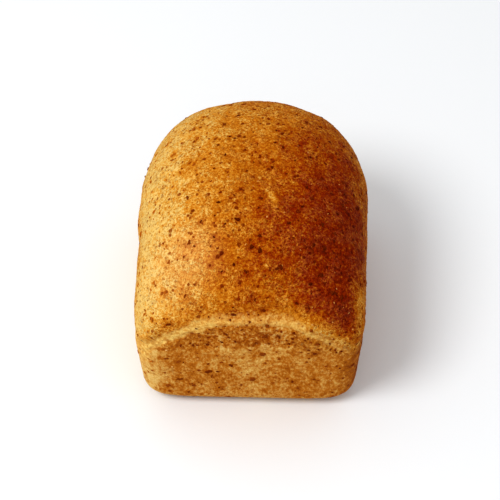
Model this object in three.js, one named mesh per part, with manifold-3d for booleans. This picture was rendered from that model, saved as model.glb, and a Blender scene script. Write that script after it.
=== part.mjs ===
// A small multigrain tin loaf, uncut and in one piece.
// Millimetres, +Z up. The loaf's length runs along Y, and the end that shows faces -Y.
// The lower part has the straight, slightly flared walls of the tin. Above the tin's rim the dough
// has risen into a dome. Where the dome tore away from the walls a rough seam, the shred, runs all
// round the loaf: low at the corners and arched over both ends. The largest bran flakes and cracked
// grains stand a little proud of the crust and are fused to it.

import * as THREE from 'three';
import { MeshSurfaceSampler } from 'three/addons/math/MeshSurfaceSampler.js';
import { mergeVertices } from 'three/addons/utils/BufferGeometryUtils.js';
import Module from 'manifold-3d';

// Walls baked against the tin
const BASE_HALF_WIDTH = 51.1;
const BASE_HALF_LENGTH = 60.6;
const RIM_HALF_WIDTH = 52.8;
const RIM_HALF_LENGTH = 63.4;
const RIM_HEIGHT = 42.5;
const BASE_ROUNDING = 9.1;

// Dome that rose above the tin
const LOAF_HEIGHT = 97.5;
const DOME_HALF_WIDTH = 54.2;
const DOME_FRONT_LENGTH = 65.4; // half lengths: the front end bulges less
const DOME_BACK_LENGTH = 67.6;
const OVERHANG_RISE = 12; // height over which the dome swells out past the rim
const ARCH_ACROSS = 2.75; // exponents of the arch from rim to crown: 2 is an ellipse, more is fuller
const ARCH_ALONG = 3.15;
const DOME_START = 36.5; // height from which the dough is more and more the dome's
const DOME_WHOLE = 50.5; // height at which it is all the dome's
const CROWN_LEAN = 1.6; // sideways lean of the crown, towards +X
const LEAN_REACHED = 2 / 3; // share of the dome's height at which the lean is whole
const BACK_SPREAD = 0.04; // share by which the dome is wider towards the back

// Exponents of the plan outline: 2 is an ellipse, and a large one has tight corners
const BASE_CORNERS = 7.6; // at the base of the front, tightening to the rim
const FRONT_CORNERS = 10.7;
const BACK_CORNERS = 7;
const BACK_SHOULDERS = 3.3; // the back of the dome slopes away from the tin's corners
const SHOULDER_START = 32.5; // height at which it starts to
const SHOULDER_RISE = 26; // height over which it does
const CROWN_OUTLINE = 2.4;
const CROWN_BLEND = 1.25; // the whole outline is the crown's at 1 / 1.25 of the dome's height

// Shred. Below it the crust is a straight wall, and above it the dome.
const SHRED_AT_CORNERS = 40; // heights of its lower edge
const SHRED_AT_ENDS = 67.5;
const SHRED_AT_SIDES = 52;
const END_ARCH = 2.2; // exponent of its arch over an end: 2 is a parabola, more is flatter on top
const SIDE_ARCH = 4;
const CORNER_TURN = 6; // the larger, the more sudden the change from end to side at a corner
const SHRED_RISE = 7; // height over which the wall turns into the dome
const SHRED_DEPTH = 0.5;
const SHRED_HALF_WIDTH = 3;
const SHRED_WANDER = 0.7; // height by which the torn line wanders up and down
const SHRED_RAGGEDNESS = 0.35; // share by which its depth varies along it

// Unevenness of the risen dough: waves of many lengths and directions
const LUMP_WAVES = 16;
const LUMP_LONGEST = 48;
const LUMP_SHORTEST = 13;
const LUMP_HEIGHT = 0.17; // of the longest wave; shorter ones are lower in proportion
const WALL_EVENNESS = 0.35; // share of that unevenness left on the tin-baked walls

// Bran flakes and cracked grains that stand proud
const GRAIN_COUNT = 120;
const GRAIN_LONGEST = 3.6;
const GRAIN_SHORTEST = 2.4;
const GRAIN_BREADTH = 0.62; // of its length
const GRAIN_THICKNESS = 0.36; // of its length; about two thirds of it is sunk in the crust
const GRAIN_SUNK = 0.18; // share of the thickness by which its middle lies below the surface
const GRAIN_GAP = 12; // least distance between two
const GRAIN_LOWEST = 8; // none nearer the surface that the loaf rests on

// Rows and rings of points
const COLUMNS = 72;
const CORNER_CROWDING = 0.45; // columns are this share closer at the corners
const FLOOR_RINGS = 3;
const ROUNDING_RINGS = 4;
const WALL_RINGS = 4;
const SHRED_RINGS = 9;
const SHRED_REACH = 8; // height that the shred's closer rings cover, above and below it
const DOME_RINGS = 21;
const RINGS = FLOOR_RINGS + ROUNDING_RINGS + WALL_RINGS + SHRED_RINGS + DOME_RINGS;

const GOLDEN_ANGLE = Math.PI * (3 - Math.sqrt(5));
const SEED = 11;

const { smoothstep, lerp, clamp } = THREE.MathUtils;

// Distance from the middle to an outline with the given half sizes, in the direction of an azimuth.
function outlineRadius(azimuth, halfWidth, halfLength, exponent) {
  const across = Math.abs(Math.cos(azimuth)) / halfWidth;
  const along = Math.abs(Math.sin(azimuth)) / halfLength;
  return (across ** exponent + along ** exponent) ** (-1 / exponent);
}

// Half size of the walls at a height: a rounded foot, and a flare that goes on above the rim.
function wallHalf(height, base, rim) {
  const below = Math.max(BASE_ROUNDING - height, 0);
  const inset = BASE_ROUNDING - Math.sqrt(BASE_ROUNDING ** 2 - below ** 2);
  return lerp(base, rim, height / RIM_HEIGHT) - inset;
}

// Half size of the dome at a height: it swells out past the rim, then arches over to the crown.
function domeHalf(height, rim, dome, arch) {
  const rise = clamp((height - RIM_HEIGHT) / (LOAF_HEIGHT - RIM_HEIGHT), 0, 1);
  const overhang = smoothstep(height, RIM_HEIGHT, RIM_HEIGHT + OVERHANG_RISE);
  return lerp(rim, dome, overhang) * (1 - rise ** arch) ** (1 / arch);
}

// How far an azimuth points to the back: 0 over the front half, rising to 1.
function backness(azimuth) {
  return smoothstep(Math.sin(azimuth), 0, 0.5);
}

// Exponent of the plan outline at a height.
function outlineExponent(azimuth, height) {
  const back = backness(azimuth);
  const front = lerp(BASE_CORNERS, FRONT_CORNERS, Math.min(height / RIM_HEIGHT, 1));
  const corners = lerp(front, BACK_CORNERS, back);
  const shoulders = lerp(front, BACK_SHOULDERS, back);
  const sloping = smoothstep(height, SHOULDER_START, SHOULDER_START + SHOULDER_RISE);
  const crownEnd = RIM_HEIGHT + (LOAF_HEIGHT - RIM_HEIGHT) / CROWN_BLEND;
  return lerp(lerp(corners, shoulders, sloping), CROWN_OUTLINE, smoothstep(height, RIM_HEIGHT, crownEnd));
}

// Height of the shred: an arch over each end and each side, lowest at the corners.
function shredHeight(azimuth) {
  const radius = outlineRadius(azimuth, RIM_HALF_WIDTH, RIM_HALF_LENGTH, FRONT_CORNERS);
  const side = (Math.abs(Math.cos(azimuth)) * radius) / RIM_HALF_WIDTH;
  const end = (Math.abs(Math.sin(azimuth)) * radius) / RIM_HALF_LENGTH;
  const endArch = (SHRED_AT_ENDS - SHRED_AT_CORNERS) * (1 - side ** END_ARCH);
  const sideArch = (SHRED_AT_SIDES - SHRED_AT_CORNERS) * (1 - end ** SIDE_ARCH);
  const onEnd = smoothstep(end ** CORNER_TURN - side ** CORNER_TURN, -0.6, 0.6);
  const wander = (Math.sin(9 * azimuth + 1) + 0.6 * Math.sin(23 * azimuth)) / 1.6;
  return SHRED_AT_CORNERS + lerp(sideArch, endArch, onEnd) + SHRED_WANDER * wander;
}

// Sum of waves that makes the risen dough uneven, at a point.
function lumpHeight(point) {
  let sum = 0;
  for (let i = 0; i < LUMP_WAVES; i++) {
    const share = (i + 0.5) / LUMP_WAVES;
    const length = LUMP_LONGEST * (LUMP_SHORTEST / LUMP_LONGEST) ** share;
    const up = 1 - 2 * share;
    const level = Math.sqrt(1 - up * up);
    const turn = 5 * i * GOLDEN_ANGLE;
    const along = point.x * level * Math.cos(turn) + point.y * level * Math.sin(turn) + point.z * up;
    sum += ((LUMP_HEIGHT * length) / LUMP_LONGEST) * Math.sin((2 * Math.PI * along) / length + 2.4 * i);
  }
  return sum;
}

// Point of the crust at an azimuth and height. A spread under 1 lies inside the flat base.
function crustPoint(azimuth, height, spread) {
  const shred = shredHeight(azimuth);
  const onDome = smoothstep(height, shred, shred + SHRED_RISE);
  const wallWidth = wallHalf(height, BASE_HALF_WIDTH, RIM_HALF_WIDTH);
  const wallLength = wallHalf(height, BASE_HALF_LENGTH, RIM_HALF_LENGTH);
  const domeReach = Math.sin(azimuth) < 0 ? DOME_FRONT_LENGTH : DOME_BACK_LENGTH;
  const domeWidth = domeHalf(height, RIM_HALF_WIDTH, DOME_HALF_WIDTH, ARCH_ACROSS);
  const domeLength = domeHalf(height, RIM_HALF_LENGTH, domeReach, ARCH_ALONG);
  const widening = 1 + BACK_SPREAD * Math.sin(azimuth) * smoothstep(height, DOME_START, DOME_WHOLE);
  const halfWidth = lerp(wallWidth, domeWidth, onDome) * widening;
  const halfLength = lerp(wallLength, domeLength, onDome);
  if (halfWidth <= 0) return new THREE.Vector3(CROWN_LEAN, 0, height);

  const exponent = outlineExponent(azimuth, height);
  const radius = outlineRadius(azimuth, halfWidth, halfLength, exponent);
  const offShred = (height - shred - SHRED_RISE / 2) / SHRED_HALF_WIDTH;
  const ragged = 1 + SHRED_RAGGEDNESS * Math.sin(13 * azimuth + 2 * Math.sin(5 * azimuth));
  const torn = SHRED_DEPTH * ragged * Math.exp(-offShred * offShred);
  const leanEnd = lerp(RIM_HEIGHT, LOAF_HEIGHT, LEAN_REACHED);
  const lean = CROWN_LEAN * smoothstep(height, RIM_HEIGHT, leanEnd);
  const reach = (radius - torn) * spread;
  return new THREE.Vector3(reach * Math.cos(azimuth) + lean, reach * Math.sin(azimuth), height);
}

// Moves a point of the crust out or in with the dough's unevenness. The base stays flat.
function uneven(point) {
  const outward = new THREE.Vector3(point.x, point.y, point.z - RIM_HEIGHT).normalize();
  if (point.z < RIM_HEIGHT) outward.setZ(0);
  const free = smoothstep(point.z, 0, BASE_ROUNDING * 2);
  const risen = smoothstep(point.z, DOME_START, DOME_WHOLE);
  return point.addScaledVector(outward, lumpHeight(point) * free * lerp(WALL_EVENNESS, 1, risen));
}

// Heights of the rings of points at one azimuth, from the crown down to the middle of the base.
function ringsAt(azimuth) {
  const shred = shredHeight(azimuth) + SHRED_RISE / 2;
  const rings = [];
  for (let i = 0; i < FLOOR_RINGS; i++) rings.push({ height: 0, spread: i / FLOOR_RINGS });
  for (let i = 0; i < ROUNDING_RINGS; i++) {
    const turn = ((i / ROUNDING_RINGS) * Math.PI) / 2;
    rings.push({ height: BASE_ROUNDING * (1 - Math.cos(turn)), spread: 1 });
  }
  for (let i = 0; i < WALL_RINGS; i++) {
    rings.push({ height: lerp(BASE_ROUNDING, shred - SHRED_REACH, i / WALL_RINGS), spread: 1 });
  }
  for (let i = 0; i < SHRED_RINGS; i++) {
    const step = (2 * i) / SHRED_RINGS - 1;
    rings.push({ height: shred + SHRED_REACH * step * Math.abs(step) ** 0.4, spread: 1 });
  }
  // Above the shred the rings are evenly spaced along the arch.
  const arch = (ARCH_ACROSS + ARCH_ALONG) / 2;
  const start = (shred + SHRED_REACH - RIM_HEIGHT) / (LOAF_HEIGHT - RIM_HEIGHT);
  const startTurn = Math.atan2(start, (1 - start ** arch) ** (1 / arch));
  for (let i = 0; i <= DOME_RINGS; i++) {
    const turn = lerp(startTurn, Math.PI / 2, i / DOME_RINGS);
    const rise = Math.sin(turn) / (Math.cos(turn) ** arch + Math.sin(turn) ** arch) ** (1 / arch);
    const height = lerp(RIM_HEIGHT, LOAF_HEIGHT, clamp(i === DOME_RINGS ? 1 : rise, 0, 1));
    rings.push({ height, spread: 1 });
  }
  return rings.reverse();
}

// The loaf without its grains: a ball whose points are moved onto the crust.
function loafBody() {
  const body = new THREE.SphereGeometry(1, COLUMNS, RINGS);
  const position = body.getAttribute('position');
  for (let column = 0; column <= COLUMNS; column++) {
    const turn = (2 * Math.PI * (column % COLUMNS)) / COLUMNS;
    const azimuth = turn + (CORNER_CROWDING * Math.sin(4 * turn)) / 4;
    ringsAt(azimuth).forEach(({ height, spread }, ring) => {
      const point = uneven(crustPoint(azimuth, height, spread));
      position.setXYZ(ring * (COLUMNS + 1) + column, point.x, point.y, point.z);
    });
  }
  body.computeVertexNormals();
  return body;
}

// Places for the grains, the first of them for the largest: spread evenly over the crust by taking
// random points and leaving out those too near an earlier one.
function grainPlaces(body) {
  THREE.MathUtils.seededRandom(SEED);
  const sampler = new MeshSurfaceSampler(new THREE.Mesh(body));
  sampler.setRandomGenerator(() => THREE.MathUtils.seededRandom()).build();
  const places = [];
  const tries = 60 * GRAIN_COUNT;
  for (let i = 0; i < tries && places.length < GRAIN_COUNT; i++) {
    const point = new THREE.Vector3();
    const normal = new THREE.Vector3();
    sampler.sample(point, normal);
    const clear = places.every((place) => place.point.distanceTo(point) > GRAIN_GAP);
    if (clear && point.z > GRAIN_LOWEST) {
      places.push({ point, normal, spin: 2 * Math.PI * THREE.MathUtils.seededRandom() });
    }
  }
  return places;
}

// One flake or cracked grain, lying flat on the crust at its place.
function grain({ point, normal, spin }, length) {
  const shape = new THREE.SphereGeometry(0.5, 7, 3);
  shape.rotateX(Math.PI / 2);
  shape.scale(length, length * GRAIN_BREADTH, length * GRAIN_THICKNESS);
  shape.translate(0, 0, -length * GRAIN_THICKNESS * GRAIN_SUNK);
  shape.rotateZ(spin);
  shape.applyQuaternion(new THREE.Quaternion().setFromUnitVectors(new THREE.Vector3(0, 0, 1), normal));
  return shape.translate(point.x, point.y, point.z);
}

const wasm = await Module();
wasm.setup();

// A closed geometry as a solid, its shared vertices merged.
function toSolid(geometry) {
  const bare = geometry.clone();
  bare.deleteAttribute('normal');
  bare.deleteAttribute('uv');
  const merged = mergeVertices(bare, 1e-4);
  return new wasm.Manifold(
    new wasm.Mesh({
      numProp: 3,
      vertProperties: merged.getAttribute('position').array,
      triVerts: new Uint32Array(merged.index.array),
    }),
  );
}

// A solid as a geometry, with flat faces.
function toGeometry(solid) {
  const mesh = solid.getMesh();
  const geometry = new THREE.BufferGeometry();
  geometry.setAttribute('position', new THREE.BufferAttribute(mesh.vertProperties, 3));
  geometry.setIndex(new THREE.BufferAttribute(mesh.triVerts, 1));
  geometry.computeVertexNormals();
  return geometry;
}

// The loaf with its grains fused on, standing on z = 0 with the middle of its box over the origin.
function loafGeometry() {
  const body = loafBody();
  const places = grainPlaces(body);
  const fused = places.reduce((solid, place, i) => {
    const length = lerp(GRAIN_LONGEST, GRAIN_SHORTEST, i / (places.length - 1));
    return solid.add(toSolid(grain(place, length)));
  }, toSolid(body));
  const geometry = toGeometry(fused);
  geometry.computeBoundingBox();
  const middle = geometry.boundingBox.getCenter(new THREE.Vector3());
  return geometry.translate(-middle.x, -middle.y, -geometry.boundingBox.min.z);
}

const crust = new THREE.MeshStandardMaterial({ color: 0xb8793a, roughness: 0.72, metalness: 0 });

const loaf = new THREE.Mesh(loafGeometry(), crust);
loaf.name = 'loaf';

const bread = new THREE.Group();
bread.add(loaf);

export default bread;
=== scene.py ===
"""A small multigrain tin loaf, dressed over its solid.

The crust repeats the solid's form and adds the relief and colours of the baked surface: the wrinkled
dome, the torn band round it, and the smooth walls that lay against the tin. Bran flakes, cracked
grains and pale flakes are pieces of their own, pressed into the crust; the pale flakes are partly real
pale bran and partly painted glints. The studio's camera stands where the photograph's did, and finds
the places of the largest grains.
"""

import logging
import math
from dataclasses import dataclass, field
from enum import Enum

import bpy
import numpy as np
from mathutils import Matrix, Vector, noise


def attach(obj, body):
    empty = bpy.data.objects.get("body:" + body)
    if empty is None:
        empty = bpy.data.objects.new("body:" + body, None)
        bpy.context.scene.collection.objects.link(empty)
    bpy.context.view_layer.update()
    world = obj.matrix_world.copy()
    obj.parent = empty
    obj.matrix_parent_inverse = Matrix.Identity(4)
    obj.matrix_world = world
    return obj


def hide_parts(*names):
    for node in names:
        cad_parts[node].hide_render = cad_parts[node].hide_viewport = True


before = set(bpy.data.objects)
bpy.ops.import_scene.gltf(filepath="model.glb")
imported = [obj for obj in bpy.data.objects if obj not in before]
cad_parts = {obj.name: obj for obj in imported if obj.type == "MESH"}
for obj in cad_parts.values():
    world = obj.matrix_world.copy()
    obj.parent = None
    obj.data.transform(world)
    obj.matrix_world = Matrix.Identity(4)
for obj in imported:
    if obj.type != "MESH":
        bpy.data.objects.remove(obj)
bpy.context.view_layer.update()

MM = 0.001
GOLDEN_ANGLE = math.pi * (3.0 - math.sqrt(5.0))

Span = tuple[float, float]
Colour = tuple[float, float, float, float]

log = logging.getLogger("loaf")


def smooth(value: np.ndarray, start: float, end: float) -> np.ndarray:
    """Rises smoothly from 0 to 1.

    Args:
        value: Numbers to judge.
        start: Value at which the rise begins.
        end: Value at which it is complete.

    Returns:
        The share of the rise at each number.
    """
    share = np.clip((value - start) / (end - start), 0.0, 1.0)
    return share * share * (3.0 - 2.0 * share)


def blend(low: np.ndarray, high: np.ndarray, share: np.ndarray) -> np.ndarray:
    """Goes from low to high by a share between 0 and 1."""
    return low + (high - low) * share


def hump(value: np.ndarray, reach: float) -> np.ndarray:
    """Is 1 at zero and falls smoothly to almost nothing at twice the reach on either side."""
    return np.exp(-((value / reach) ** 2))


def noise_at(points: np.ndarray, size: float, shift: float) -> np.ndarray:
    """Soft noise between about -1 and 1.

    Args:
        points: Places, one row each, in metres.
        size: Length of one wave of the noise, in metres.
        shift: Offset that makes each use of the noise its own.

    Returns:
        The noise at each place.
    """
    return np.array([noise.noise(Vector(place)) for place in points / size + shift])


def edge_net(points: np.ndarray, size: float, edge: float, shift: float) -> np.ndarray:
    """A net of raised edges between cells.

    Args:
        points: Places, one row each, in metres.
        size: Size of a cell, in metres.
        edge: Width of the edges, as a share of a cell.
        shift: Offset that makes each use its own.

    Returns:
        1 on the edges of the cells, falling to 0 inside them.
    """
    gaps = []
    for place in points / size + shift:
        nearest = noise.voronoi(Vector(place))[0]
        gaps.append(nearest[1] - nearest[0])
    return 1.0 - smooth(np.array(gaps), 0.0, edge)


@dataclass(frozen=True)
class LoafForm:
    """The loaf's true form in metres, the same as its solid's, before any fine relief."""

    base_half_width: float = 51.1 * MM
    base_half_length: float = 60.6 * MM
    rim_half_width: float = 52.8 * MM
    rim_half_length: float = 63.4 * MM
    rim_height: float = 42.5 * MM
    base_rounding: float = 9.1 * MM

    loaf_height: float = 97.5 * MM
    dome_half_width: float = 54.2 * MM
    dome_front_length: float = 65.4 * MM
    dome_back_length: float = 67.6 * MM
    overhang_rise: float = 12.0 * MM
    arch_across: float = 2.75
    arch_along: float = 3.15
    dome_start: float = 36.5 * MM
    dome_whole: float = 50.5 * MM
    crown_lean: float = 1.6 * MM
    lean_reached: float = 2.0 / 3.0
    back_spread: float = 0.04

    base_corners: float = 7.6
    front_corners: float = 10.7
    back_corners: float = 7.0
    back_shoulders: float = 3.3
    shoulder_start: float = 32.5 * MM
    shoulder_rise: float = 26.0 * MM
    crown_outline: float = 2.4
    crown_blend: float = 1.25

    shred_at_corners: float = 40.0 * MM
    shred_at_ends: float = 67.5 * MM
    shred_at_sides: float = 52.0 * MM
    end_arch: float = 2.2
    side_arch: float = 4.0
    corner_turn: float = 6.0
    shred_rise: float = 7.0 * MM
    shred_depth: float = 0.5 * MM
    shred_half_width: float = 3.0 * MM
    shred_wander: float = 0.7 * MM
    shred_raggedness: float = 0.35

    lump_waves: int = 16
    lump_longest: float = 48.0 * MM
    lump_shortest: float = 13.0 * MM
    lump_height: float = 0.17 * MM
    wall_evenness: float = 0.35

    foot_share: float = 0.104
    wall_share: float = 0.353
    middle_x: float = 0.59 * MM
    middle_y: float = -0.14 * MM

    def outline_radius(
        self, azimuth: np.ndarray, half_width: np.ndarray, half_length: np.ndarray, exponent: np.ndarray
    ) -> np.ndarray:
        """Distance from the middle to a plan outline.

        Args:
            azimuth: Directions, in radians from +X.
            half_width: Half size of the outline across the loaf.
            half_length: Half size along it.
            exponent: 2 for an ellipse, more for tighter corners.

        Returns:
            The distance in each direction.
        """
        across = np.abs(np.cos(azimuth)) / half_width
        along = np.abs(np.sin(azimuth)) / half_length
        return (across**exponent + along**exponent) ** (-1.0 / exponent)

    def wall_half(self, height: np.ndarray, base: float, rim: float) -> np.ndarray:
        """Half size of the walls at a height: a rounded foot, and a flare that goes on above the rim.

        Args:
            height: Heights above the base.
            base: Half size at the base, before its rounding.
            rim: Half size at the tin's rim.

        Returns:
            The half size at each height.
        """
        below = np.maximum(self.base_rounding - height, 0.0)
        inset = self.base_rounding - np.sqrt(np.maximum(self.base_rounding**2 - below**2, 0.0))
        return blend(base, rim, height / self.rim_height) - inset

    def dome_half(self, height: np.ndarray, rim: float, dome: np.ndarray, arch: float) -> np.ndarray:
        """Half size of the dome at a height: it swells out past the rim, then arches over.

        Args:
            height: Heights above the base.
            rim: Half size at the tin's rim.
            dome: Half size of the dome.
            arch: Exponent of the arch from rim to crown.

        Returns:
            The half size at each height.
        """
        rise = np.clip((height - self.rim_height) / (self.loaf_height - self.rim_height), 0.0, 1.0)
        overhang = smooth(height, self.rim_height, self.rim_height + self.overhang_rise)
        return blend(rim, dome, overhang) * np.maximum(1.0 - rise**arch, 0.0) ** (1.0 / arch)

    def outline_exponent(self, azimuth: np.ndarray, height: np.ndarray) -> np.ndarray:
        """Exponent of the plan outline in a direction and at a height."""
        back = smooth(np.sin(azimuth), 0.0, 0.5)
        front = blend(self.base_corners, self.front_corners, np.minimum(height / self.rim_height, 1.0))
        corners = blend(front, self.back_corners, back)
        shoulders = blend(front, self.back_shoulders, back)
        sloping = smooth(height, self.shoulder_start, self.shoulder_start + self.shoulder_rise)
        crown_end = self.rim_height + (self.loaf_height - self.rim_height) / self.crown_blend
        crowned = smooth(height, self.rim_height, crown_end)
        return blend(blend(corners, shoulders, sloping), self.crown_outline, crowned)

    def end_and_side(self, azimuth: np.ndarray) -> tuple[np.ndarray, np.ndarray]:
        """How far the rim reaches towards the end walls and towards the side walls, each up to 1."""
        radius = self.outline_radius(azimuth, self.rim_half_width, self.rim_half_length, self.front_corners)
        side = np.abs(np.cos(azimuth)) * radius / self.rim_half_width
        end = np.abs(np.sin(azimuth)) * radius / self.rim_half_length
        return end, side

    def shred_height(self, azimuth: np.ndarray) -> np.ndarray:
        """Height of the torn seam: an arch over each end and side, lowest at the corners."""
        end, side = self.end_and_side(azimuth)
        end_rise = (self.shred_at_ends - self.shred_at_corners) * (1.0 - side**self.end_arch)
        side_rise = (self.shred_at_sides - self.shred_at_corners) * (1.0 - end**self.side_arch)
        on_end = smooth(end**self.corner_turn - side**self.corner_turn, -0.6, 0.6)
        wander = (np.sin(9.0 * azimuth + 1.0) + 0.6 * np.sin(23.0 * azimuth)) / 1.6
        return self.shred_at_corners + blend(side_rise, end_rise, on_end) + self.shred_wander * wander

    def lumps(self, points: np.ndarray) -> np.ndarray:
        """Unevenness of the risen dough: a sum of waves of many lengths and directions."""
        total = np.zeros(len(points))
        for i in range(self.lump_waves):
            share = (i + 0.5) / self.lump_waves
            length = self.lump_longest * (self.lump_shortest / self.lump_longest) ** share
            up = 1.0 - 2.0 * share
            level = math.sqrt(1.0 - up * up)
            turn = 5.0 * i * GOLDEN_ANGLE
            along = points @ np.array([level * math.cos(turn), level * math.sin(turn), up])
            height = self.lump_height * length / self.lump_longest
            total += height * np.sin(math.tau * along / length + 2.4 * i)
        return total

    def crust(self, azimuth: np.ndarray, height: np.ndarray) -> np.ndarray:
        """Points of the even crust.

        Args:
            azimuth: Directions, in radians from +X.
            height: Heights above the base.

        Returns:
            One row for each point, about the form's own axis.
        """
        shred = self.shred_height(azimuth)
        on_dome = smooth(height, shred, shred + self.shred_rise)
        wall_width = self.wall_half(height, self.base_half_width, self.rim_half_width)
        wall_length = self.wall_half(height, self.base_half_length, self.rim_half_length)
        dome_reach = np.where(np.sin(azimuth) < 0.0, self.dome_front_length, self.dome_back_length)
        dome_width = self.dome_half(height, self.rim_half_width, self.dome_half_width, self.arch_across)
        dome_length = self.dome_half(height, self.rim_half_length, dome_reach, self.arch_along)
        risen = smooth(height, self.dome_start, self.dome_whole)
        widening = 1.0 + self.back_spread * np.sin(azimuth) * risen
        half_width = np.maximum(blend(wall_width, dome_width, on_dome) * widening, 1e-7)
        half_length = np.maximum(blend(wall_length, dome_length, on_dome), 1e-7)
        exponent = self.outline_exponent(azimuth, height)
        radius = self.outline_radius(azimuth, half_width, half_length, exponent)
        off_shred = (height - shred - self.shred_rise / 2.0) / self.shred_half_width
        ragged = 1.0 + self.shred_raggedness * np.sin(13.0 * azimuth + 2.0 * np.sin(5.0 * azimuth))
        reach = radius - np.minimum(self.shred_depth * ragged * np.exp(-(off_shred**2)), radius)
        lean_end = blend(self.rim_height, self.loaf_height, self.lean_reached)
        lean = self.crown_lean * smooth(height, self.rim_height, lean_end)
        return np.stack([reach * np.cos(azimuth) + lean, reach * np.sin(azimuth), height], axis=1)

    def uneven(self, points: np.ndarray) -> np.ndarray:
        """Moves points of the even crust by the dough's lumps, and centres them on the solid's box."""
        outward = points - np.array([0.0, 0.0, self.rim_height])
        outward /= np.linalg.norm(outward, axis=1, keepdims=True)
        outward[points[:, 2] < self.rim_height, 2] = 0.0
        free = smooth(points[:, 2], 0.0, 2.0 * self.base_rounding)
        risen = smooth(points[:, 2], self.dome_start, self.dome_whole)
        shift = self.lumps(points) * free * blend(self.wall_evenness, 1.0, risen)
        return points + outward * shift[:, None] - np.array([self.middle_x, self.middle_y, 0.0])

    def height_along(self, rise: np.ndarray) -> np.ndarray:
        """Height at a share of the way up a vertical slice, from the edge of the flat base to the crown."""
        turn = np.clip(rise / self.foot_share, 0.0, 1.0) * math.pi / 2.0
        foot = self.base_rounding * (1.0 - np.cos(turn))
        up_wall = (rise - self.foot_share) / (self.wall_share - self.foot_share)
        wall = blend(self.base_rounding, self.rim_height, up_wall)
        arch = (self.arch_across + self.arch_along) / 2.0
        over = np.clip((rise - self.wall_share) / (1.0 - self.wall_share), 0.0, 1.0) * math.pi / 2.0
        arched = np.sin(over) / (np.cos(over) ** arch + np.sin(over) ** arch) ** (1.0 / arch)
        dome = blend(self.rim_height, self.loaf_height, np.minimum(arched, 1.0))
        return np.where(rise < self.foot_share, foot, np.where(rise < self.wall_share, wall, dome))


@dataclass(frozen=True)
class CrustGrid:
    """How the crust's points are laid out: a square cap over the crown, rows down to the foot, a base."""

    cap_cells: int = 154
    side_rows: int = 114
    cap_edge: float = 0.6
    corner_ease: float = 0.6
    base_spread: float = 0.9
    base_ring: float = -1.0
    base_middle: float = -2.0

    def cap(self) -> tuple[np.ndarray, np.ndarray, np.ndarray]:
        """Lays out the square cap.

        Returns:
            Its points across and along the square, each from -1 to 1, and its four-sided faces.
        """
        n = self.cap_cells
        step = np.linspace(-1.0, 1.0, n + 1)
        across, along = np.meshgrid(step, step)
        corner = np.arange(n * (n + 1)).reshape(n, n + 1)[:, :n].ravel()
        faces = np.stack([corner, corner + 1, corner + n + 2, corner + n + 1], axis=1)
        return across.ravel(), along.ravel(), faces

    def rim_of_cap(self) -> np.ndarray:
        """Numbers of the cap's border points, anticlockwise seen from above."""
        n = self.cap_cells
        front = np.arange(n)
        right = n + (n + 1) * np.arange(n)
        back = (n + 1) * (n + 1) - 1 - np.arange(n)
        left = (n + 1) * n - (n + 1) * np.arange(n)
        return np.concatenate([front, right, back, left])

    def layout(self, form: LoafForm) -> tuple[np.ndarray, np.ndarray, list[list[int]]]:
        """Lays out the whole crust.

        Args:
            form: The loaf's form, which sets how directions spread round it.

        Returns:
            The azimuth and the rise of each point, and the faces. The base's ring and middle have the rises
            that stand for them.
        """
        across, along, cap_faces = self.cap()
        out = np.maximum(np.maximum(np.abs(across), np.abs(along)), 1e-9)
        ease = math.tan(self.corner_ease)
        x = np.tan(self.corner_ease * across / out) / ease * form.rim_half_width
        y = np.tan(self.corner_ease * along / out) / ease * form.rim_half_length
        cap_azimuth = np.arctan2(y, x)
        border = self.rim_of_cap()
        count = len(border)
        rows = self.side_rows
        azimuths = [cap_azimuth]
        rises = [1.0 - (1.0 - self.cap_edge) * np.where(out < 1e-6, 0.0, out)]
        for row in range(1, rows + 1):
            azimuths.append(cap_azimuth[border])
            rises.append(np.full(count, self.cap_edge * (1.0 - row / rows)))
        azimuths.append(cap_azimuth[border])
        rises.append(np.full(count, self.base_ring))
        azimuths.append(np.zeros(1))
        rises.append(np.full(1, self.base_middle))

        rings = [border] + [len(across) + count * row + np.arange(count) for row in range(rows + 1)]
        faces = cap_faces.tolist()
        for upper, lower in zip(rings[:-1], rings[1:]):
            quads = np.stack([upper, lower, np.roll(lower, -1), np.roll(upper, -1)], axis=1)
            faces += quads.tolist()
        middle = len(across) + count * (rows + 1)
        fan = np.stack([rings[-1], np.full(count, middle), np.roll(rings[-1], -1)], axis=1)
        faces += fan.tolist()
        return np.concatenate(azimuths), np.concatenate(rises), faces


@dataclass
class Zones:
    """Where each point of the crust lies, as shares between 0 and 1."""

    dome: np.ndarray
    torn: np.ndarray
    tinned: np.ndarray
    above_shred: np.ndarray


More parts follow.
